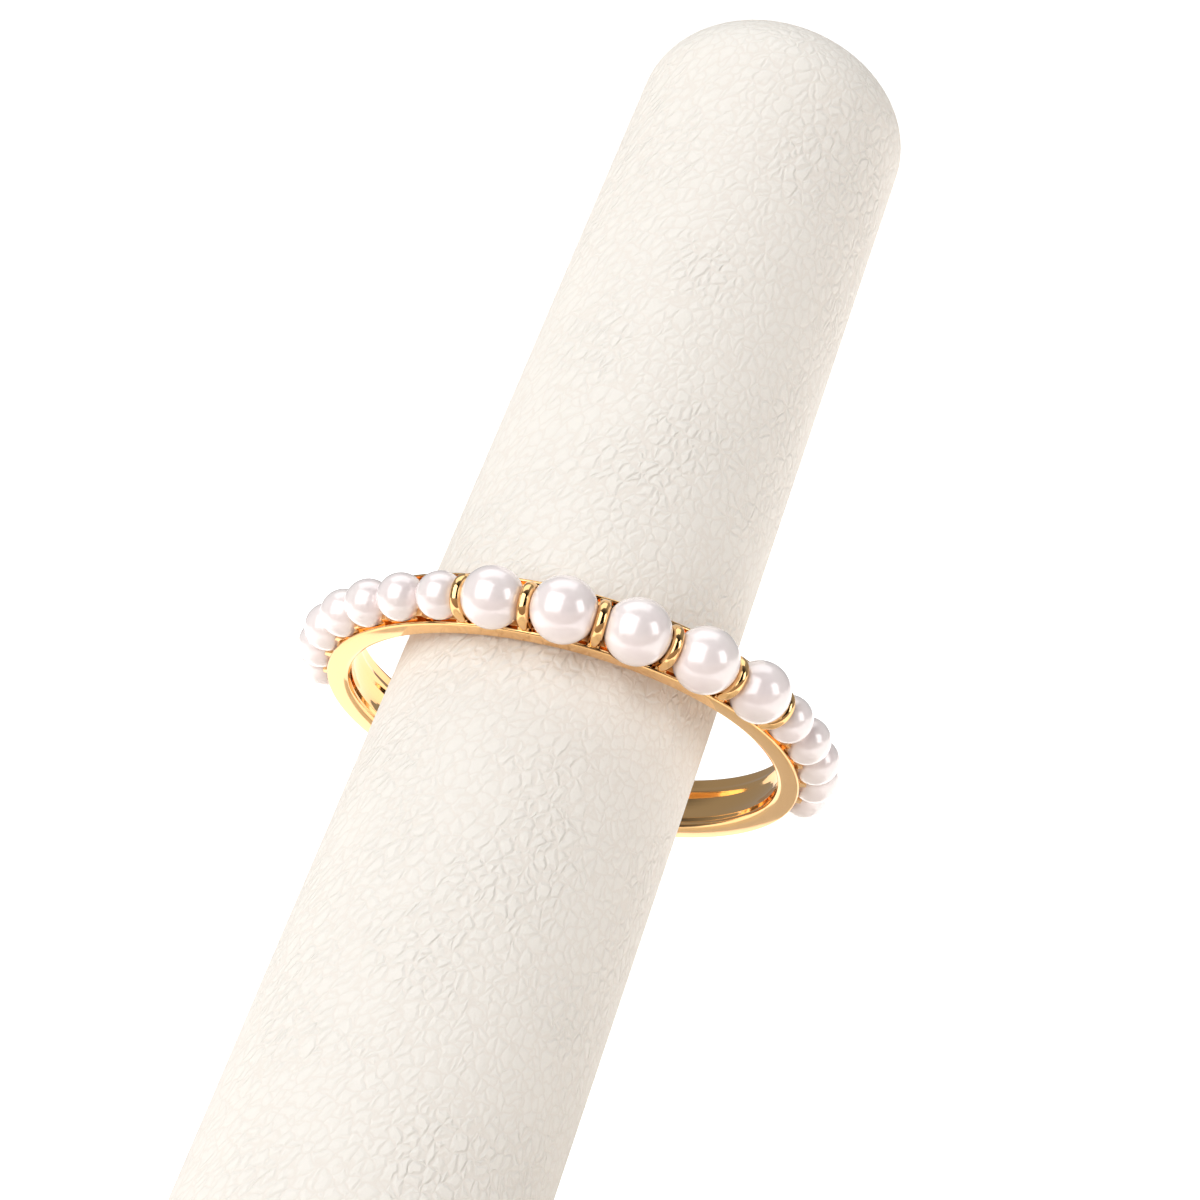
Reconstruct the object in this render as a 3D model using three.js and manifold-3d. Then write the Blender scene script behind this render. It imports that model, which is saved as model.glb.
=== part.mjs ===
// Pearl stacking ring on a leather-covered display finger, in millimetres with +Z up.
// The origin is the middle of the base's underside.
//
// The ring is one gold solid: a band with flat side faces, round seats cut into its outside, and
// small arches soldered across it between the larger pearls. Its pearls sit loose in the seats.
// It hangs on a tapered finger that leans back on a round base, and touches it on one side.

import * as THREE from 'three';
import { mergeVertices } from 'three/addons/utils/BufferGeometryUtils.js';
import Module from 'manifold-3d';

// Band
const ringInnerDiameter = 17;
const bandThickness = 0.9;
const bandWidth = 2.2;
const faceChamfer = 0.06;
const hollowDepth = 0.09;
const bandSides = 64;

// Channel round the outside of the band, where the pearls are
const lipThickness = 0.12;
const grooveDepth = 0.24;
const grooveWidth = 0.14;
const seatWallHeight = 0.26;
const seatWallStep = 0.03;
const channelDepth = 0.3;
const channelSlope = 0.12;
const channelEndMargin = 0.25;

// Pearls, from the middle of the row outwards
const middlePearlDiameter = 2.58;
const secondPearlDiameter = 2.58;
const thirdPearlDiameter = 2.41;
const smallPearlDiameter = 1.86;
const smallPearlsLeft = 7;
const smallPearlsRight = 5;
const pearlSides = 12;
const pearlRings = 9;
const rowOffset = 0.11;
const smallPearlStandOff = 0.45;
const largePearlStandOff = 0.65;
const smallPearlGap = 0.04;
const archPearlGap = 0.28;
const endArchPearlGap = 0.14;
const seatClearance = 0.05;
const seatSides = 16;

// Arches between the larger pearls, each on a saddle that lies across the channel
const archOuterRadius = 0.9;
const archStrapThickness = 0.24;
const archWidth = 0.42;
const archEdgeRound = 0.06;
const archStandOff = 0.35;
const saddleRise = 0.08;
const saddleTopWidth = 0.42;
const saddleFlare = 0.1;

// Display finger, straight and tapered under a flattened dome
const fingerLength = 62.8;
const fingerFootDiameter = 13.8;
const fingerShoulderDiameter = 10.7;
const tipDomeHeight = 4.1;
const fingerLean = 37.9;
const fingerHeading = 31.9;
const fingerSides = 40;

// Base
const baseDiameter = 57;
const baseThickness = 5;
const baseEdgeRound = 1.2;
const baseSides = 48;
const footSetback = 14.5;
const footGap = 0.3;

// How the ring hangs on the finger
const ringDistance = 32.1;
const hangDirection = 106.6;
const contactGap = 0.12;
const ringTiltAcross = 4.04;
const ringTiltAlong = -2.62;
const ringSpin = 42.7;

const bore = ringInnerDiameter / 2;
const bandOuter = bore + bandThickness;
const seatWall = bandOuter - seatWallStep;
const channelFloor = bandOuter - channelDepth;
const rowHeight = bandWidth / 2 - rowOffset;
const archOrbit = bandOuter + archStandOff;
const domeStart = fingerLength - tipDomeHeight;
const { degToRad } = THREE.MathUtils;

const wasm = await Module();
wasm.setup();

// Solids for the joins and cuts, and back to geometry

function solidFrom(geometry) {
  geometry.deleteAttribute('normal');
  geometry.deleteAttribute('uv');
  const merged = mergeVertices(geometry, 1e-5);
  const vertProperties = new Float32Array(merged.attributes.position.array);
  const triVerts = new Uint32Array(merged.index.array);
  return new wasm.Manifold(new wasm.Mesh({ numProp: 3, vertProperties, triVerts }));
}

function geometryFrom(solid) {
  const { vertProperties, triVerts } = solid.getMesh();
  const geometry = new THREE.BufferGeometry();
  geometry.setAttribute('position', new THREE.BufferAttribute(vertProperties, 3));
  geometry.setIndex(new THREE.BufferAttribute(triVerts, 1));
  geometry.computeVertexNormals();
  return geometry;
}

// A closed profile of radius and height pairs, outer side upwards, turned about +Z
function turned(profile, sides) {
  const points = profile.map(([radius, height]) => new THREE.Vector2(radius, height));
  return new THREE.LatheGeometry(points, sides).rotateX(Math.PI / 2);
}

// Row of pearls: angles are measured from its middle, which is on the ring's own -Y side

// A larger pearl stands further out than a small one
function pearlOrbit(radius) {
  const smallRadius = smallPearlDiameter / 2;
  const share = (radius - smallRadius) / (middlePearlDiameter / 2 - smallRadius);
  return bandOuter + THREE.MathUtils.lerp(smallPearlStandOff, largePearlStandOff, share);
}

// One side of the row, outwards from the middle pearl: each pearl, the gap before it, and whether
// an arch stands in that gap
function sideOfRow(smallPearls) {
  const small = { diameter: smallPearlDiameter, gap: smallPearlGap, arch: false };
  return [
    { diameter: secondPearlDiameter, gap: archPearlGap, arch: true },
    { diameter: thirdPearlDiameter, gap: archPearlGap, arch: true },
    { ...small, gap: endArchPearlGap, arch: true },
    ...Array.from({ length: smallPearls - 1 }, () => small),
  ];
}

function placeSide(smallPearls, direction) {
  let last = { radius: middlePearlDiameter / 2, angle: 0 };
  const arches = [];
  const placed = sideOfRow(smallPearls).map(({ diameter, gap, arch: hasArch }) => {
    const radius = diameter / 2;
    const chord = last.radius + gap + radius;
    const orbit = (pearlOrbit(last.radius) + pearlOrbit(radius)) / 2;
    const step = 2 * direction * Math.asin(chord / (2 * orbit));
    if (hasArch) arches.push(last.angle + (step * (last.radius + gap / 2)) / chord);
    last = { radius, angle: last.angle + step };
    return last;
  });
  return { placed, arches };
}

const left = placeSide(smallPearlsLeft, -1);
const right = placeSide(smallPearlsRight, 1);
const middlePearl = { radius: middlePearlDiameter / 2, angle: 0 };
const pearls = [...left.placed.reverse(), middlePearl, ...right.placed];
const archAngles = [...left.arches, ...right.arches];

function onRow({ radius, angle }) {
  const orbit = pearlOrbit(radius);
  return new THREE.Vector3(orbit * Math.sin(angle), -orbit * Math.cos(angle), rowHeight);
}

// Band

// The bore has rolled edges and two narrow ridges with a wide shallow hollow between them.
// Heights are shares of the band's width, and depths are shares of the hollow's depth.
const boreProfile = [
  { height: 0, depth: 2.2 },
  { height: 0.03, depth: 0.7 },
  { height: 0.09, depth: 0 },
  { height: 0.15, depth: 0.9 },
  { height: 0.22, depth: 0.1 },
  { height: 0.29, depth: 0.9 },
  { height: 0.48, depth: 1 },
  { height: 0.68, depth: 0.9 },
  { height: 0.75, depth: 0.1 },
  { height: 0.82, depth: 0.9 },
  { height: 0.96, depth: 0.9 },
  { height: 1, depth: 1.6 },
];

function plainBand() {
  const outside = [
    [bandOuter - faceChamfer, 0],
    [bandOuter, faceChamfer],
    [bandOuter, bandWidth - faceChamfer],
    [bandOuter - faceChamfer, bandWidth],
  ];
  const inside = boreProfile.map(({ height, depth }) => [bore + hollowDepth * depth, bandWidth * height]);
  return solidFrom(turned([...outside, ...inside.reverse(), outside[0]], bandSides));
}

// A narrow groove behind each lip, then a seat wall, then the lower channel floor
function channelRing() {
  const beyond = bandOuter + bandThickness;
  const grooveEnd = lipThickness + grooveWidth;
  const wallEnd = grooveEnd + seatWallHeight;
  const lower = [
    [bandOuter, lipThickness],
    [bandOuter - grooveDepth, lipThickness + grooveWidth / 2],
    [seatWall, grooveEnd],
    [seatWall, wallEnd],
    [channelFloor, wallEnd + channelSlope],
  ];
  const upper = lower.map(([radius, height]) => [radius, bandWidth - height]);
  const outside = [[beyond, lipThickness], [beyond, bandWidth - lipThickness]];
  return solidFrom(turned([...outside, ...upper, ...lower.reverse(), outside[0]], bandSides));
}

// The sector of the ring that the row of pearls takes up
function rowSector() {
  const [first, last] = [pearls[0], pearls.at(-1)];
  const endAngle = ({ radius }) => Math.asin((radius + channelEndMargin) / pearlOrbit(radius));
  const start = first.angle - endAngle(first) - Math.PI / 2;
  const end = last.angle + endAngle(last) - Math.PI / 2;
  const reach = 2 * (bandOuter + bandThickness);
  const sector = new THREE.Shape();
  sector.moveTo(0, 0);
  sector.absarc(0, 0, reach, start, end, false);
  const depth = bandWidth;
  return solidFrom(new THREE.ExtrudeGeometry(sector, { depth, bevelEnabled: false, curveSegments: 24 }));
}

// Seats are cut with a sphere whose flat facets, not its corners, keep the clearance
function pearlSeat(pearl) {
  const rings = seatSides / 2 + 2;
  const facetShare = Math.cos(Math.PI / seatSides) * Math.cos(Math.PI / (2 * rings));
  const cutter = new THREE.SphereGeometry((pearl.radius + seatClearance) / facetShare, seatSides, rings);
  return solidFrom(cutter.rotateX(Math.PI / 2).translate(...onRow(pearl)));
}

// A piece drawn with X outwards and Y along the ring's axis, set across the band at an angle
function acrossBand(geometry, angle) {
  return solidFrom(geometry.rotateX(Math.PI / 2).rotateZ(angle - Math.PI / 2));
}

function arch(angle) {
  const inner = archOuterRadius - archStrapThickness;
  const strap = new THREE.Shape();
  strap.moveTo(channelFloor, rowHeight - archOuterRadius);
  strap.absarc(archOrbit, rowHeight, archOuterRadius, -Math.PI / 2, Math.PI / 2, false);
  strap.lineTo(channelFloor, rowHeight + archOuterRadius);
  strap.lineTo(channelFloor, rowHeight + inner);
  strap.absarc(archOrbit, rowHeight, inner, Math.PI / 2, -Math.PI / 2, true);
  strap.lineTo(channelFloor, rowHeight - inner);
  const geometry = new THREE.ExtrudeGeometry(strap, {
    depth: archWidth - 2 * archEdgeRound,
    curveSegments: 8,
    bevelThickness: archEdgeRound,
    bevelSize: archEdgeRound,
    bevelOffset: -archEdgeRound,
    bevelSegments: 1,
  });
  return acrossBand(geometry.translate(0, 0, archEdgeRound - archWidth / 2), angle);
}

function saddle(angle) {
  const root = channelFloor - seatWallStep;
  const top = bandOuter + saddleRise;
  const halfTop = saddleTopWidth / 2;
  const halfRoot = halfTop + saddleFlare;
  const section = new THREE.Shape([
    new THREE.Vector2(root, -halfRoot),
    new THREE.Vector2(top, -halfTop),
    new THREE.Vector2(top, halfTop),
    new THREE.Vector2(root, halfRoot),
  ]);
  const depth = bandWidth - 2 * lipThickness;
  const bar = new THREE.ExtrudeGeometry(section, { depth, bevelEnabled: false });
  return solidFrom(bar.translate(0, 0, lipThickness).rotateZ(angle - Math.PI / 2));
}

function bandGeometry() {
  let band = plainBand().subtract(channelRing().intersect(rowSector()));
  archAngles.forEach((angle) => {
    band = band.add(saddle(angle)).add(arch(angle));
  });
  pearls.forEach((pearl) => {
    band = band.subtract(pearlSeat(pearl));
  });
  return geometryFrom(band);
}

// Display finger

function fingerRadiusAt(distance) {
  return THREE.MathUtils.lerp(fingerFootDiameter, fingerShoulderDiameter, distance / domeStart) / 2;
}

function domeProfile() {
  const steps = 7;
  return Array.from({ length: steps + 1 }, (_, i) => {
    const angle = (Math.PI / 2) * (i / steps);
    const radius = i === steps ? 0 : fingerRadiusAt(domeStart) * Math.cos(angle);
    return [radius, domeStart + tipDomeHeight * Math.sin(angle)];
  });
}

// The finger is turned a little too long and cut level, just clear of the base
function fingerGeometry(fingerFrame) {
  const below = -fingerFootDiameter;
  const profile = [[0, below], [fingerRadiusAt(below), below], ...domeProfile()];
  const ground = new THREE.BoxGeometry(baseDiameter * 2, baseDiameter * 2, baseDiameter);
  ground.translate(0, 0, baseThickness + footGap - baseDiameter / 2);
  fingerFrame.updateMatrixWorld(true);
  ground.applyMatrix4(fingerFrame.matrixWorld.clone().invert());
  return geometryFrom(solidFrom(turned(profile, fingerSides)).subtract(solidFrom(ground)));
}

// Base

function baseGeometry() {
  const edge = baseDiameter / 2;
  const roundSteps = 4;
  const topRound = Array.from({ length: roundSteps + 1 }, (_, i) => {
    const angle = (Math.PI / 2) * (i / roundSteps);
    const inset = baseEdgeRound * (1 - Math.cos(angle));
    return [edge - inset, baseThickness - baseEdgeRound * (1 - Math.sin(angle))];
  });
  return turned([[0, 0], [edge, 0], ...topRound, [0, baseThickness]], baseSides);
}

// Materials

const gold = new THREE.MeshStandardMaterial({ color: 0xe3b063, metalness: 1, roughness: 0.12 });
const pearl = new THREE.MeshStandardMaterial({ color: 0xf4eaea, metalness: 0, roughness: 0.18 });
const leather = new THREE.MeshStandardMaterial({ color: 0xeae2d8, metalness: 0, roughness: 0.6 });

function piece(name, geometry, material) {
  const mesh = new THREE.Mesh(geometry, material);
  mesh.name = name;
  return mesh;
}

// Assembly: base, finger frame, ring frame

const stand = new THREE.Group();
stand.add(piece('stand_base', baseGeometry(), leather));

const heading = degToRad(fingerHeading);
const fingerFrame = new THREE.Group();
fingerFrame.position.set(-footSetback * Math.sin(heading), -footSetback * Math.cos(heading), baseThickness);
fingerFrame.rotation.set(-degToRad(fingerLean), 0, -heading, 'ZYX');
fingerFrame.add(piece('display_finger', fingerGeometry(fingerFrame), leather));
stand.add(fingerFrame);

const hang = degToRad(hangDirection);
const hangOffset = bore - fingerRadiusAt(ringDistance) - contactGap;
const ring = new THREE.Group();
ring.position.set(hangOffset * Math.cos(hang), hangOffset * Math.sin(hang), ringDistance);
ring.rotation.set(degToRad(ringTiltAcross), degToRad(ringTiltAlong), degToRad(ringSpin));
ring.add(piece('band', bandGeometry(), gold));
pearls.forEach(({ radius, angle }, index) => {
  const name = `pearl_${String(index + 1).padStart(2, '0')}`;
  const bead = piece(name, new THREE.SphereGeometry(radius, pearlSides, pearlRings), pearl);
  bead.position.copy(onRow({ radius, angle }));
  ring.add(bead);
});
fingerFrame.add(ring);

export default stand;
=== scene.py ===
# A pearl stacking ring of polished gold, hanging on a leather-covered display finger.
# Each piece is modelled in millimetres where it is simplest to draw, the ring flat on its own axis
# and the finger upright, and is then carried to its place on the stand.
import math
import bpy
from mathutils import Matrix, Vector


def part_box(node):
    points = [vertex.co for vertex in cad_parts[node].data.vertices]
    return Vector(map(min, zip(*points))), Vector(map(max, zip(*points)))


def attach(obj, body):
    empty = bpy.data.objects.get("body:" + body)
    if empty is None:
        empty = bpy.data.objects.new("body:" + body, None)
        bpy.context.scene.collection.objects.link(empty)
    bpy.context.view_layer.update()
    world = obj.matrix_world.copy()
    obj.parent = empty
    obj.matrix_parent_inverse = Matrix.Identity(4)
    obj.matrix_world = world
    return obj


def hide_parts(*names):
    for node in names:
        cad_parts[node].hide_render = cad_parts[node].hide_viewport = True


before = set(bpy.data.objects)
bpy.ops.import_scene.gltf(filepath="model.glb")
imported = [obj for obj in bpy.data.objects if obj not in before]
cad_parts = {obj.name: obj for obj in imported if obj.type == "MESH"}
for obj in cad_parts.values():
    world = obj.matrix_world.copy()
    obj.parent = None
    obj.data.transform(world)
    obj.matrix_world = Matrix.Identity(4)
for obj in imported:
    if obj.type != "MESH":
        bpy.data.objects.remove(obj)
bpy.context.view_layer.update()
bpy.ops.object.select_all(action="DESELECT")

# Camera
# A long lens in front of the stand, a little above the ring and looking slightly down.
camera_lens = 171.26
camera_height = 0.064654
camera_distance = 0.210472
camera_side = 0.004602
camera_pitch = math.radians(82)

bpy.ops.object.camera_add(
    location=(camera_side, -camera_distance, camera_height), rotation=(camera_pitch, 0, 0))
camera = bpy.context.object
camera.data.lens = camera_lens
camera.data.sensor_width = 36
camera.data.clip_start = 0.01
camera.data.clip_end = 20
bpy.context.scene.camera = camera

# Where the ring hangs
# The pearls' centres lie on circles round the ring's axis, so the ring's own frame is found from
# them: its origin is the middle of the face towards the base, and the row's middle is on its -Y side.
row_height = 0.99
band_width = 2.2
same_size = 0.01


def pearl_of(name):
    low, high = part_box(name)
    centre = (low + high) / 2
    radius = max((vertex.co - centre).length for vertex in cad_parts[name].data.vertices)
    return {"name": name, "centre": centre, "radius": radius * 1000}


def circle_centre(a, b, c):
    ab = b - a
    ac = c - a
    normal = ab.cross(ac)
    towards = normal.cross(ab) * ac.length_squared + ac.cross(normal) * ab.length_squared
    return a + towards / (2 * normal.length_squared)


pearls = [pearl_of(name) for name in sorted(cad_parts) if name.startswith("pearl_")]
middle_pearl = max(pearls, key=lambda pearl: pearl["radius"])
small_radius = min(pearl["radius"] for pearl in pearls)
small_names = [pearl["name"] for pearl in pearls if pearl["radius"] < small_radius + same_size]
small_centres = [pearl["centre"] for pearl in pearls if pearl["name"] in small_names]
left_run = next(place for place, pearl in enumerate(pearls) if pearl["name"] not in small_names)
left_end, left_inner, right_end = small_centres[0], small_centres[left_run - 1], small_centres[-1]
row_centre = circle_centre(left_end, left_inner, right_end)
ring_axis = (right_end - row_centre).cross(left_end - row_centre).normalized()
if ring_axis.z < 0:
    ring_axis = -ring_axis
ring_back = (row_centre - middle_pearl["centre"]).normalized()
ring_right = ring_back.cross(ring_axis)
ring_turn = Matrix((ring_right, ring_back, ring_axis)).transposed().to_4x4()
ring_frame = (Matrix.Translation(row_centre) @ ring_turn @ Matrix.Scale(0.001, 4)
              @ Matrix.Translation((0, 0, -row_height)))
to_ring = ring_frame.inverted()
for pearl in pearls:
    place = to_ring @ pearl["centre"]
    pearl["place"] = place
    pearl["orbit"] = math.hypot(place.x, place.y)
    pearl["angle"] = math.atan2(place.x, -place.y)

# Band
# One casting of 18 karat yellow gold with flat side faces and a rolled, ridged bore. Its outline is
# drawn once as a wire and spun round the ring's axis.
bore_radius = 8.5
outer_radius = 9.4
face_chamfer = 0.06
hollow_depth = 0.09
band_steps = 256
bore_outline = [
    {"height": 1.0, "depth": 1.6},
    {"height": 0.96, "depth": 0.9},
    {"height": 0.82, "depth": 0.9},
    {"height": 0.75, "depth": 0.1},
    {"height": 0.68, "depth": 0.55},
    {"height": 0.62, "depth": 0.95},
    {"height": 0.55, "depth": 1.2},
    {"height": 0.48, "depth": 1.3},
    {"height": 0.41, "depth": 1.2},
    {"height": 0.35, "depth": 0.95},
    {"height": 0.29, "depth": 0.55},
    {"height": 0.22, "depth": 0.1},
    {"height": 0.15, "depth": 0.9},
    {"height": 0.09, "depth": 0.0},
    {"height": 0.03, "depth": 0.7},
    {"height": 0.0, "depth": 2.2},
]


def draw_outline(name, points, corner=0.0):
    """A wire in the XZ plane, pushed out edge by edge from one vertex, with rounded corners."""
    bpy.ops.mesh.primitive_plane_add(size=1, location=(0, 0, 0))
    wire = bpy.context.object
    wire.name = name
    bpy.ops.object.mode_set(mode="EDIT")
    bpy.ops.mesh.merge(type="CENTER")
    bpy.ops.transform.translate(value=(points[0][0], 0, points[0][1]))
    for start, end in zip(points, points[1:]):
        step = (end[0] - start[0], 0, end[1] - start[1])
        bpy.ops.mesh.extrude_region_move(TRANSFORM_OT_translate={"value": step})
    bpy.ops.mesh.select_all(action="SELECT")
    bpy.ops.mesh.remove_doubles(threshold=1e-5)
    if corner:
        bpy.ops.mesh.bevel(offset=corner, segments=3, affect="VERTICES")
    return wire


def close_shell():
    """Joins doubles and turns every face outwards, and leaves edit mode."""
    bpy.ops.mesh.select_all(action="SELECT")
    bpy.ops.mesh.remove_doubles(threshold=1e-5)
    bpy.ops.mesh.normals_make_consistent(inside=False)
    bpy.ops.object.mode_set(mode="OBJECT")


band_outline = [
    (outer_radius - face_chamfer, 0),
    (outer_radius, face_chamfer),
    (outer_radius, band_width - face_chamfer),
    (outer_radius - face_chamfer, band_width),
]
band_outline += [(bore_radius + hollow_depth * p["depth"], band_width * p["height"]) for p in bore_outline]
gold_band = draw_outline("gold_band", [*band_outline, band_outline[0]], corner=0.02)
bpy.ops.mesh.spin(steps=band_steps, angle=math.tau, center=(0, 0, 0), axis=(0, 0, 1))
close_shell()

# Channel for the row
# A groove behind each lip and a lower floor between two seat walls, milled only where the row runs.
lip_thickness = 0.12
groove_depth = 0.24
groove_width = 0.14
seat_wall_height = 0.26
seat_wall_step = 0.03
channel_depth = 0.3
channel_slope = 0.12
channel_end_margin = 0.25
cutter_overreach = 1.0
channel_steps = 200
seat_wall_radius = outer_radius - seat_wall_step
channel_floor = outer_radius - channel_depth


def pick(piece):
    """Makes piece the only selected object and the active one."""
    bpy.ops.object.select_all(action="DESELECT")
    bpy.context.view_layer.objects.active = piece
    piece.select_set(True)


def turn_round_axis(piece, angle):
    """Turns a piece drawn at the row's middle, on the -Y side, to its angle round the ring's axis."""
    pick(piece)
    piece.rotation_euler = (0, 0, angle)
    bpy.ops.object.transform_apply(location=True, rotation=True, scale=True)


def join_solids(piece, tool, operation):
    """Cuts piece by tool or welds tool to it, and deletes tool."""
    pick(piece)
    boolean = piece.modifiers.new("join", "BOOLEAN")
    boolean.operation = operation
    boolean.solver = "MANIFOLD"
    boolean.object = tool
    bpy.ops.object.modifier_apply(modifier=boolean.name)
    bpy.data.objects.remove(tool)


wall_start = lip_thickness + groove_width
wall_end = wall_start + seat_wall_height
lower_half = [
    (outer_radius + cutter_overreach, lip_thickness),
    (outer_radius, lip_thickness),
    (outer_radius - groove_depth, lip_thickness + groove_width / 2),
    (seat_wall_radius, wall_start),
    (seat_wall_radius, wall_end),
    (channel_floor, wall_end + channel_slope),
]
upper_half = [(radius, band_width - height) for radius, height in reversed(lower_half)]
channel = draw_outline("channel", [*lower_half, *upper_half, lower_half[0]])
bpy.ops.mesh.edge_face_add()
bpy.ops.object.mode_set(mode="OBJECT")
row_start, row_end = (
    end["angle"] + side * math.asin((end["radius"] + channel_end_margin) / end["orbit"])
    for end, side in ((pearls[0], -1), (pearls[-1], 1)))
quarter_turn = math.pi / 2  # the outline is drawn on the +X side, a quarter turn past the row's middle
turn_round_axis(channel, row_start - quarter_turn)
bpy.ops.object.mode_set(mode="EDIT")
bpy.ops.mesh.select_all(action="SELECT")
bpy.ops.mesh.spin(steps=channel_steps, angle=row_end - row_start, center=(0, 0, 0), axis=(0, 0, -1))
close_shell()
join_solids(gold_band, channel, "DIFFERENCE")

# Cusps between the small pearls
# Short bars that stand on the seat walls between two small pearls. The cutter that makes the seats
# leaves a bright pointed cusp of each, as a bur does in a real setting.
cusp_width = 0.62
cusp_top_width = 0.26
cusp_rise = 0.22
cusp_reach = 0.73
cusp_root = 0.03
cusp_height = outer_radius + cusp_rise - channel_floor + cusp_root
cusp_middle = outer_radius + cusp_rise - cusp_height / 2
small_pairs = [
    (one, two) for one, two in zip(pearls, pearls[1:])
    if one["name"] in small_names and two["name"] in small_names]
for one, two in small_pairs:
    bpy.ops.mesh.primitive_cube_add(size=1, location=(0, -cusp_middle, row_height))
    cusp = bpy.context.object
    cusp.scale = (cusp_width, cusp_height, 2 * cusp_reach)
    bpy.ops.object.transform_apply(location=True, rotation=True, scale=True)
    bpy.ops.object.mode_set(mode="EDIT")
    bpy.ops.mesh.select_all(action="DESELECT")
    bpy.ops.object.mode_set(mode="OBJECT")
    for face in cusp.data.polygons:
        face.select = face.normal.y < -0.9
    bpy.ops.object.mode_set(mode="EDIT")
    bpy.ops.transform.resize(
        value=(cusp_top_width / cusp_width, 1, 1), center_override=(0, -outer_radius, row_height))
    bpy.ops.object.mode_set(mode="OBJECT")
    turn_round_axis(cusp, (one["angle"] + two["angle"]) / 2)
    join_solids(gold_band, cusp, "UNION")

# Saddles and arches
# In each of the six wider gaps a small arch stands on a saddle across the channel. Both are soldered
# to the band: a flat saddle with flared sides, and a domed wire bent to a half circle over it.
saddle_root = outer_radius - 0.33
saddle_top = outer_radius + 0.08
saddle_root_width = 0.62
saddle_top_width = 0.44
saddle_bevel = 0.04
arch_orbit = outer_radius + 0.35
arch_radius = 0.9
wire_width = 0.47
wire_thickness = 0.26
wire_crown = 0.22
wire_steps = 48


def select_faces(piece, wanted):
    """Selects just the faces whose centre and normal satisfy wanted, and stays in edit mode."""
    bpy.ops.object.mode_set(mode="EDIT")
    bpy.ops.mesh.select_mode(type="FACE")
    bpy.ops.mesh.select_all(action="DESELECT")
    bpy.ops.object.mode_set(mode="OBJECT")
    for face in piece.data.polygons:
        face.select = wanted(face.center, face.normal)
    bpy.ops.object.mode_set(mode="EDIT")


bpy.ops.mesh.primitive_cube_add(size=1, location=(0, -(saddle_root + saddle_top) / 2, band_width / 2))
saddle = bpy.context.object
saddle.scale = (saddle_root_width, saddle_top - saddle_root, band_width - 2 * lip_thickness)
bpy.ops.object.transform_apply(location=True, rotation=True, scale=True)
select_faces(saddle, lambda centre, normal: normal.y < -0.9)
bpy.ops.transform.resize(
    value=(saddle_top_width / saddle_root_width, 1, 1), center_override=(0, -saddle_top, band_width / 2))
bpy.ops.mesh.select_mode(type="EDGE")
bpy.ops.mesh.select_all(action="SELECT")
bpy.ops.mesh.bevel(offset=saddle_bevel, segments=3, affect="EDGES")
close_shell()

# The wire's section: flat inside, crowned outside, drawn at the foot of the arch on the base side
wire_middle = row_height - arch_radius + wire_thickness / 2
bpy.ops.mesh.primitive_plane_add(
    size=1, location=(0, -channel_floor, wire_middle), rotation=(math.pi / 2, 0, 0))
arch = bpy.context.object
arch.scale = (wire_width, wire_thickness, 1)
bpy.ops.object.transform_apply(location=True, rotation=True, scale=True)
bpy.ops.object.mode_set(mode="EDIT")
bpy.ops.mesh.select_mode(type="VERT")
bpy.ops.mesh.select_all(action="DESELECT")
bpy.ops.object.mode_set(mode="OBJECT")
for vertex in arch.data.vertices:
    vertex.select = vertex.co.z < wire_middle
bpy.ops.object.mode_set(mode="EDIT")
bpy.ops.mesh.bevel(offset=wire_crown, segments=9, affect="VERTICES")
bpy.ops.mesh.select_all(action="SELECT")
bpy.ops.mesh.extrude_region_move(TRANSFORM_OT_translate={"value": (0, channel_floor - arch_orbit, 0)})
bpy.ops.mesh.spin(
    steps=wire_steps, angle=math.pi, center=(0, -arch_orbit, row_height), axis=(1, 0, 0))
bpy.ops.mesh.extrude_region_move(TRANSFORM_OT_translate={"value": (0, arch_orbit - channel_floor, 0)})
close_shell()
join_solids(arch, saddle, "UNION")

arch_angles = []
for one, two in zip(pearls, pearls[1:]):
    if one["name"] in small_names and two["name"] in small_names:
        continue
    gap = (two["place"] - one["place"]).length - one["radius"] - two["radius"]
    share = (one["radius"] + gap / 2) / (two["place"] - one["place"]).length
    middle = one["place"].lerp(two["place"], share)
    arch_angles.append(math.atan2(middle.x, -middle.y))
for angle in arch_angles:
    pick(arch)
    bpy.ops.object.duplicate()
    copy = bpy.context.object
    turn_round_axis(copy, angle)
    join_solids(gold_band, copy, "UNION")
bpy.data.objects.remove(arch)

# Seats
# Round cups that a ball bur cuts for the pearls, a little larger than the pearls themselves.
seat_clearance = 0.05
for pearl in pearls:
    bpy.ops.mesh.primitive_uv_sphere_add(
        segments=64, ring_count=40, radius=pearl["radius"] + seat_clearance,
        location=(0, -pearl["orbit"], pearl["place"].z))
    bur = bpy.context.object
    turn_round_axis(bur, pearl["angle"])
    join_solids(gold_band, bur, "DIFFERENCE")


# 18 karat yellow gold, cast and polished to a mirror: warm, with very little blur in what it reflects
# and only a faint unevenness from the polishing wheel.
def linear(code):
    """An sRGB hex colour as linear red, green, blue and alpha."""
    parts = [int(code[i:i + 2], 16) / 255 for i in (1, 3, 5)]
    return tuple(p / 12.92 if p <= 0.04045 else ((p + 0.055) / 1.055) ** 2.4 for p in parts) + (1.0,)


def add_node(material, kind, settings=None, **inputs):
    """Adds a shader node with its settings and its inputs, each one a value or another node's output."""
    node = material.node_tree.nodes.new(kind)
    for name, value in (settings or {}).items():
        setattr(node, name, value)
    for name, value in inputs.items():
        socket = node.inputs[int(name[1:])] if name[1:].isdigit() else node.inputs[name.replace("_", " ")]
        if isinstance(value, bpy.types.NodeSocket):
            material.node_tree.links.new(value, socket)
        else:
            socket.default_value = value
    return node


def new_material(name):
    material = bpy.data.materials.new(name)
    material.use_nodes = True
    material.node_tree.nodes.clear()
    return material


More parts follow.
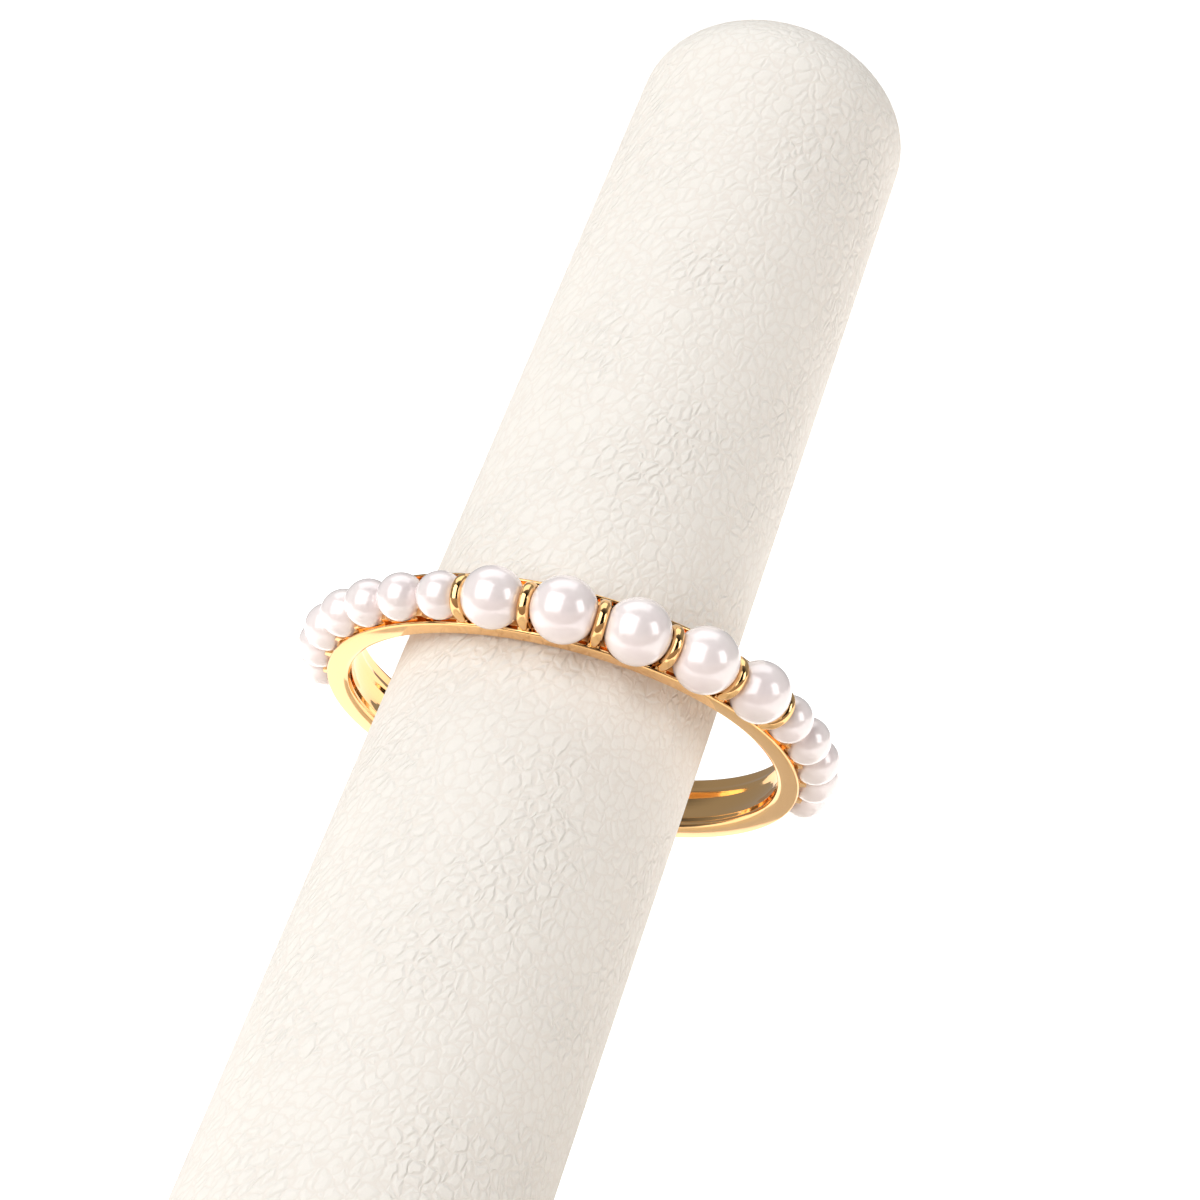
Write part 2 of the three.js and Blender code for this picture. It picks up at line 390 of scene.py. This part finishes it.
def finish_material(material, shader):
    output = material.node_tree.nodes.new("ShaderNodeOutputMaterial")
    material.node_tree.links.new(shader.outputs["BSDF"], output.inputs["Surface"])


gold = new_material("polished_18k_gold")
place = add_node(gold, "ShaderNodeTexCoord").outputs["Object"]
wheel = add_node(gold, "ShaderNodeTexNoise", Vector=place, Scale=900.0, Detail=2.0)
dullness = add_node(gold, "ShaderNodeMapRange", Value=wheel.outputs["Fac"], To_Min=0.04, To_Max=0.09)
worn_edges = add_node(gold, "ShaderNodeBevel", {"samples": 4}, Radius=0.000025)
ripple = add_node(
    gold, "ShaderNodeBump", Strength=0.04, Distance=0.00002, Height=wheel.outputs["Fac"],
    Normal=worn_edges.outputs["Normal"])
gold_shader = add_node(
    gold, "ShaderNodeBsdfPrincipled", Base_Color=linear("#F8C98B"), Metallic=1.0,
    Roughness=dullness.outputs["Result"], Normal=ripple.outputs["Normal"])
finish_material(gold, gold_shader)


def bring_home(piece, matrix, material, angle=None):
    """Carries a piece from the place it was drawn at to its place on the stand, and finishes it."""
    pick(piece)
    piece.matrix_world = matrix
    bpy.ops.object.transform_apply(location=True, rotation=True, scale=True)
    if angle is None:
        bpy.ops.object.shade_smooth()
    else:
        bpy.ops.object.shade_smooth_by_angle(angle=angle)
    piece.data.materials.clear()
    piece.data.materials.append(material)
    bpy.ops.object.select_all(action="DESELECT")


bring_home(gold_band, ring_frame, gold, math.radians(32))
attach(gold_band, "root")
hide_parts("band")

# Pearls
# Freshwater pearls, nearly round, white with a rosy overtone. Each sits loose in its seat.
pearl_material = new_material("freshwater_pearl")
place = add_node(pearl_material, "ShaderNodeTexCoord").outputs["Object"]
cloud = add_node(pearl_material, "ShaderNodeTexNoise", Vector=place, Scale=700.0, Detail=2.0)
nacre = add_node(
    pearl_material, "ShaderNodeMix", {"data_type": "RGBA"}, Factor=cloud.outputs["Fac"],
    i6=linear("#FFF6F0"), i7=linear("#FDECEC"))
growth = add_node(pearl_material, "ShaderNodeTexNoise", Vector=place, Scale=2600.0, Detail=1.0)
skin = add_node(
    pearl_material, "ShaderNodeBump", Strength=0.08, Distance=0.00003, Height=growth.outputs["Fac"])
pearl_shader = add_node(
    pearl_material, "ShaderNodeBsdfPrincipled", Base_Color=nacre.outputs[2], Metallic=0.1, Roughness=0.27,
    IOR=1.65, Coat_Weight=1.0, Coat_Roughness=0.1, Coat_IOR=1.6, Normal=skin.outputs["Normal"])
finish_material(pearl_material, pearl_shader)

for pearl in pearls:
    bpy.ops.mesh.primitive_ico_sphere_add(subdivisions=5, radius=pearl["radius"], location=pearl["place"])
    bead = bpy.context.object
    bead.name = "nacre_" + pearl["name"]
    bpy.ops.object.transform_apply(location=True, rotation=True, scale=True)
    bring_home(bead, ring_frame, pearl_material)
    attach(bead, "root")
    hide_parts(pearl["name"])

# Display finger
# A tapered wooden finger with a domed end, wrapped in ivory leather. It leans back from the base.
finger_length = 62.8
finger_foot_radius = 6.9
finger_shoulder_radius = 5.35
tip_dome_height = 4.1
finger_lean = math.radians(37.9)
finger_heading = math.radians(31.9)
foot_setback = 14.5
base_top = 5.0
base_gap = 0.02
foot_depth = 6.0
finger_sides = 160
dome_steps = 20
taper_length = finger_length - tip_dome_height
taper = (finger_foot_radius - finger_shoulder_radius) / taper_length

bpy.ops.mesh.primitive_cone_add(
    vertices=finger_sides, radius1=finger_foot_radius + taper * foot_depth, radius2=finger_shoulder_radius,
    depth=taper_length + foot_depth, location=(0, 0, (taper_length - foot_depth) / 2))
finger = bpy.context.object
finger.name = "leather_finger"
bpy.ops.object.transform_apply(location=True, rotation=True, scale=True)
select_faces(finger, lambda centre, normal: normal.z > 0.9)
dome_step = math.pi / 2 / dome_steps
for step in range(1, dome_steps):
    before = dome_step * (step - 1)
    now = dome_step * step
    rise = tip_dome_height * (math.sin(now) - math.sin(before))
    bpy.ops.mesh.extrude_region_move(TRANSFORM_OT_translate={"value": (0, 0, rise)})
    shrink = math.cos(now) / math.cos(before)
    bpy.ops.transform.resize(value=(shrink, shrink, 1), center_override=(0, 0, 0))
last_rise = tip_dome_height * (1 - math.cos(dome_step))
bpy.ops.mesh.extrude_region_move(TRANSFORM_OT_translate={"value": (0, 0, last_rise)})
bpy.ops.mesh.merge(type="CENTER")
close_shell()
foot_place = (
    -foot_setback * math.sin(finger_heading), -foot_setback * math.cos(finger_heading), base_top)
finger_frame = (
    Matrix.Translation(foot_place) @ Matrix.Rotation(-finger_heading, 4, "Z")
    @ Matrix.Rotation(-finger_lean, 4, "X"))
finger.matrix_world = finger_frame
bpy.ops.object.transform_apply(location=True, rotation=True, scale=True)
bpy.ops.object.mode_set(mode="EDIT")
bpy.ops.mesh.select_all(action="SELECT")
bpy.ops.mesh.bisect(
    plane_co=(0, 0, base_top + base_gap), plane_no=(0, 0, 1), clear_inner=True, use_fill=True)
close_shell()

# Ivory leather, finely creased: a matt hide with a network of soft creases, drawn out a little on a
# slant and deeper in some patches than in others, and a fine pebble grain over them. The creases are
# also painted a little darker than the leather around them, as painted shade in the creases.
leather = new_material("ivory_leather")
place = add_node(leather, "ShaderNodeTexCoord").outputs["Object"]
turned = add_node(
    leather, "ShaderNodeMapping", {"vector_type": "TEXTURE"}, Vector=place,
    Rotation=(0, math.radians(42), 0), Scale=(1.0, 1.0, 1.7))
drift = add_node(leather, "ShaderNodeTexNoise", Vector=turned.outputs["Vector"], Scale=1500.0, Detail=2.0)
bent = add_node(
    leather, "ShaderNodeVectorMath", {"operation": "MULTIPLY_ADD"},
    i0=drift.outputs["Color"], i1=(0.0006, 0.0006, 0.0006), i2=turned.outputs["Vector"])
cells = add_node(
    leather, "ShaderNodeTexVoronoi", {"feature": "DISTANCE_TO_EDGE"}, Vector=bent.outputs["Vector"],
    Scale=2300.0)
cell = add_node(
    leather, "ShaderNodeMapRange", {"interpolation_type": "SMOOTHSTEP"}, Value=cells.outputs["Distance"],
    From_Max=0.3)
pebbles = add_node(leather, "ShaderNodeTexNoise", Vector=place, Scale=7000.0, Detail=1.0)
patches = add_node(leather, "ShaderNodeTexNoise", Vector=place, Scale=260.0, Detail=0.0)
patch = add_node(
    leather, "ShaderNodeMapRange", Value=patches.outputs["Fac"], From_Min=0.38, From_Max=0.62, To_Min=0.5,
    To_Max=1.0)
soft_cell = add_node(
    leather, "ShaderNodeMath", {"operation": "MULTIPLY"}, i0=cell.outputs["Result"],
    i1=patch.outputs["Result"])
relief = add_node(
    leather, "ShaderNodeMath", {"operation": "MULTIPLY_ADD"}, i0=pebbles.outputs["Fac"], i1=0.3,
    i2=soft_cell.outputs["Value"])
grain = add_node(
    leather, "ShaderNodeBump", Strength=1.0, Distance=0.000048, Height=relief.outputs["Value"])
# painted shade: the leather's colour is made a little darker along the creases, where shade would fall
crease_shade = add_node(
    leather, "ShaderNodeMapRange", {"interpolation_type": "SMOOTHSTEP"}, Value=cells.outputs["Distance"],
    From_Max=0.12)
hide_and_crease_shade = add_node(
    leather, "ShaderNodeMix", {"data_type": "RGBA"}, Factor=crease_shade.outputs["Result"],
    i6=linear("#F2E9DF"), i7=linear("#F7F0E7"))
leather_shader = add_node(
    leather, "ShaderNodeBsdfPrincipled", Base_Color=hide_and_crease_shade.outputs[2], Roughness=0.6,
    Specular_IOR_Level=0.22, Normal=grain.outputs["Normal"])
finish_material(leather, leather_shader)

millimetres = Matrix.Scale(0.001, 4)
bring_home(finger, millimetres, leather, math.radians(40))
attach(finger, "root")
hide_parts("display_finger")

# Base
# A round wooden foot covered in the same leather, with a rolled edge.
base_diameter = 57.0
base_edge_round = 1.2
base_sides = 192
bpy.ops.mesh.primitive_cylinder_add(
    vertices=base_sides, radius=base_diameter / 2, depth=base_top, location=(0, 0, base_top / 2))
base = bpy.context.object
base.name = "leather_base"
bpy.ops.object.transform_apply(location=True, rotation=True, scale=True)
select_faces(base, lambda centre, normal: abs(normal.z) > 0.9)
bpy.ops.mesh.bevel(offset=base_edge_round, segments=8, affect="EDGES")
close_shell()
bring_home(base, millimetres, leather, math.radians(40))
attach(base, "root")
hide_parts("stand_base")

# Studio
# A white table under white surroundings, a large soft light on the left, a smaller one low on the
# right and one overhead. The table's paper glows with painted light of its own, faintly and warm, and more
# so behind the stand.
table_size = 5
table_drop = 0.00002
bpy.ops.mesh.primitive_plane_add(size=table_size, location=(0, 0, -table_drop))
table = bpy.context.object
table.name = "studio_table"
paper = new_material("white_paper")
place = add_node(paper, "ShaderNodeTexCoord").outputs["Object"]
spot = add_node(paper, "ShaderNodeSeparateXYZ", Vector=place)
# painted light: the paper emits a warm glow of its own, weaker in front of the stand and stronger behind
# it
painted_glow_strength = add_node(
    paper, "ShaderNodeMapRange", Value=spot.outputs["Y"], From_Min=0.1, From_Max=0.9, To_Min=0.84,
    To_Max=1.12)
painted_paper_glow = add_node(
    paper, "ShaderNodeEmission", Color=(1.0, 0.96, 0.92, 1.0), Strength=painted_glow_strength.outputs["Result"])
matt_paper = add_node(paper, "ShaderNodeBsdfDiffuse", Color=linear("#F2F2F2"))
paper_sum = add_node(
    paper, "ShaderNodeAddShader", i0=matt_paper.outputs["BSDF"], i1=painted_paper_glow.outputs["Emission"])
paper_output = paper.node_tree.nodes.new("ShaderNodeOutputMaterial")
paper.node_tree.links.new(paper_sum.outputs["Shader"], paper_output.inputs["Surface"])
table.data.materials.append(paper)


def softbox(name, bearing, elevation, distance, width, height, power):
    """A soft light that faces the ring, at a bearing to the right of the camera and an elevation."""
    target = ring_frame.translation
    side = math.radians(bearing)
    up = math.radians(elevation)
    away = Vector((math.sin(side) * math.cos(up), -math.cos(side) * math.cos(up), math.sin(up)))
    bpy.ops.object.light_add(type="AREA", location=target + away * distance)
    lamp = bpy.context.object
    lamp.name = name
    lamp.data.shape = "RECTANGLE"
    lamp.data.size = width
    lamp.data.size_y = height
    lamp.data.energy = power
    lamp.data.color = (0.95, 0.98, 1.0)
    lamp.rotation_euler = away.to_track_quat("Z", "Y").to_euler()


softbox("left_softbox", bearing=-37, elevation=33, distance=0.6, width=0.66, height=0.72, power=3.9)
softbox("right_softbox", bearing=60, elevation=15, distance=0.6, width=0.26, height=0.36, power=0.95)
softbox("overhead_softbox", bearing=180, elevation=75, distance=0.7, width=0.8, height=0.5, power=1.6)

# A dark cloth on the table between the camera and the stand, for dark reflections in the gold
cloth_width = 1.6
cloth_depth = 1.2
cloth_distance = 0.64
bpy.ops.mesh.primitive_plane_add(size=1, location=(0, -cloth_distance, -table_drop / 2))
cloth = bpy.context.object
cloth.name = "dark_cloth"
cloth.scale = (cloth_width, cloth_depth, 1)
bpy.ops.object.transform_apply(location=True, rotation=True, scale=True)
felt = new_material("grey_felt")
felt_shader = add_node(felt, "ShaderNodeBsdfPrincipled", Base_Color=linear("#A08C7C"), Roughness=1.0)
finish_material(felt, felt_shader)
cloth.data.materials.append(felt)
cloth.visible_camera = False

# The room is white behind and above the stand and dim round the camera
world = bpy.data.worlds.new("white_room")
bpy.context.scene.world = world
world.use_nodes = True
background = world.node_tree.nodes["Background"]
background.inputs["Color"].default_value = (1.0, 1.0, 1.0, 1.0)
direction = add_node(world, "ShaderNodeTexCoord").outputs["Generated"]
towards = add_node(world, "ShaderNodeSeparateXYZ", Vector=direction)
room = add_node(
    world, "ShaderNodeMapRange", {"interpolation_type": "SMOOTHSTEP"}, Value=towards.outputs["Y"],
    From_Min=-0.6, From_Max=0.35, To_Min=0.015, To_Max=0.33)
world.node_tree.links.new(room.outputs["Result"], background.inputs["Strength"])
bpy.context.scene.view_settings.view_transform = "Standard"
